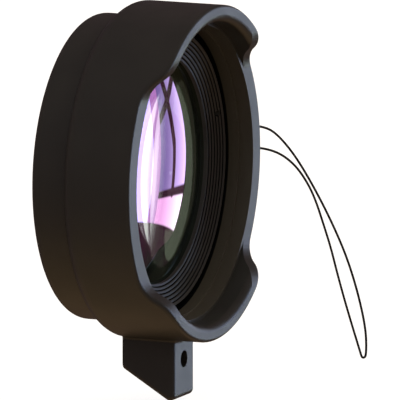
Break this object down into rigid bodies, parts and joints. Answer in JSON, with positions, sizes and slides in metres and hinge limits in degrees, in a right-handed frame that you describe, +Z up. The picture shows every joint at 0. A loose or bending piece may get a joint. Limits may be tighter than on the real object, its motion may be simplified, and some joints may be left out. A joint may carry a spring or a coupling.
{
  "type": "underwater close-up lens",
  "caption": "Round push-on close-up lens for an underwater camera port: stepped holder with a petal hood, domed glass in a ribbed cell, a drilled tab below and a thin lanyard loop at the side.",
  "frame": {"origin": "on the optical axis, in the plane of the seat where the camera port's front face stops", "axes": "+Y along the optical axis towards the camera, so the glass faces -Y; +Z up, with the hood's petals above and below and the tab below"},
  "size_m": [0.1086, 0.0393, 0.0916],
  "materials": {
    "holder_plastic": "fine satin black moulding",
    "cell_metal": "matte black anodised",
    "coated_glass": "polished, violet anti-reflection coating",
    "clear_glass": "polished",
    "seal_rubber": "smooth black",
    "ring_metal": "matte black anodised",
    "grip_rubber": "smooth black",
    "cord_nylon": "fine twisted black nylon"
  },
  "bodies": {
    "root": {"lens_holder": "holder_plastic", "lens_cell": "cell_metal", "crown_element": "coated_glass", "flint_element": "clear_glass", "front_seal": "seal_rubber", "rear_seal": "seal_rubber", "rear_retaining_ring": "ring_metal", "cell_lock_ring": "ring_metal", "port_grip_ring": "grip_rubber", "lanyard_cord": "cord_nylon", "cord_knot_upper": "cord_nylon", "cord_knot_lower": "cord_nylon"}
  },
  "joints": []
}
